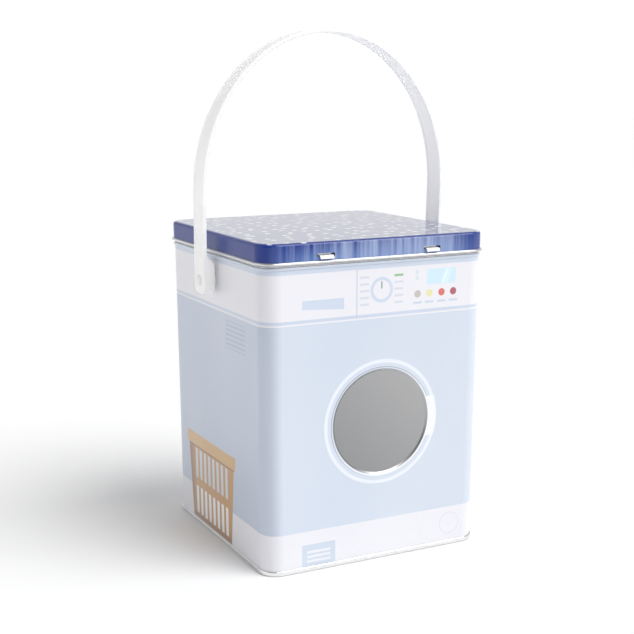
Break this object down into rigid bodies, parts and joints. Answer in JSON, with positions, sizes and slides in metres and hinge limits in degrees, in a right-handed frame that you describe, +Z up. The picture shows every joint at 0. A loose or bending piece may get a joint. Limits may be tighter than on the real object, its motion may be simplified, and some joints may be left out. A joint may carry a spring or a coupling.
{
  "type": "storage tin with hinged lid and strap handle",
  "caption": "Rectangular tinplate storage tin made to look like a front-loading washing machine, with a hinged lid and a swinging plastic strap handle.",
  "frame": {"origin": "centre of the base, on the surface the tin stands on", "axes": "+Z up; -Y points out of the front face, the one with the porthole; +X is to the right of a viewer who faces the front"},
  "size_m": [0.1888, 0.1701, 0.352],
  "materials": {
    "printed_body": "gloss printed tinplate",
    "bare_tin": "bare tinplate",
    "printed_lid": "gloss printed tinplate, bare curled hem",
    "handle_plastic": "milky translucent polypropylene",
    "stud_plastic": "satin",
    "washer_plastic": "satin"
  },
  "bodies": {
    "tin": {"body_shell": "printed_body", "base_plate": "bare_tin", "handle_stud_left": "stud_plastic", "handle_stud_right": "stud_plastic", "stud_washer_left": "washer_plastic", "stud_washer_right": "washer_plastic"},
    "lid": {"lid": "printed_lid"},
    "handle": {"carry_handle": "handle_plastic"}
  },
  "joints": [
    {"name": "lid_hinge", "type": "hinge", "parent": "tin", "child": "lid", "pos_m": [0, -0.0831, 0.2098], "axis": [1, 0, 0], "range_deg": [0, 34]},
    {"name": "handle_swing", "type": "hinge", "parent": "tin", "child": "handle", "pos_m": [0, 0, 0.188], "axis": [1, 0, 0], "range_deg": [-125, 122]}
  ]
}
